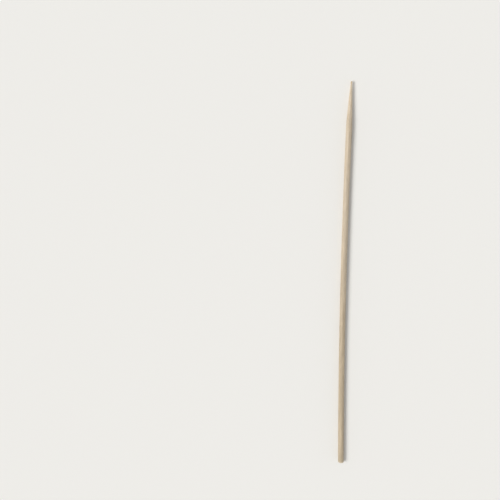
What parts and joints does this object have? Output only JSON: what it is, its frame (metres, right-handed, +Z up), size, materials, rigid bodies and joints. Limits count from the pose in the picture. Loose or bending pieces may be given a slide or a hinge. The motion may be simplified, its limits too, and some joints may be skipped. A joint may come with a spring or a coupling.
{
  "type": "bamboo skewer",
  "caption": "Slim round bamboo stick with a long ground point and a square-sawn butt, slightly bowed.",
  "frame": {"origin": "on the ground, under the middle of the box around the stick as it lies", "axes": "+Y along the stick towards its point, +Z up, the bow lies flat and bulges towards -X"},
  "size_m": [0.0042, 0.2, 0.003],
  "materials": {
    "bamboo": "bare, satin-matte, with a fine lengthwise grain"
  },
  "bodies": {
    "root": {"skewer": "bamboo"}
  },
  "joints": []
}
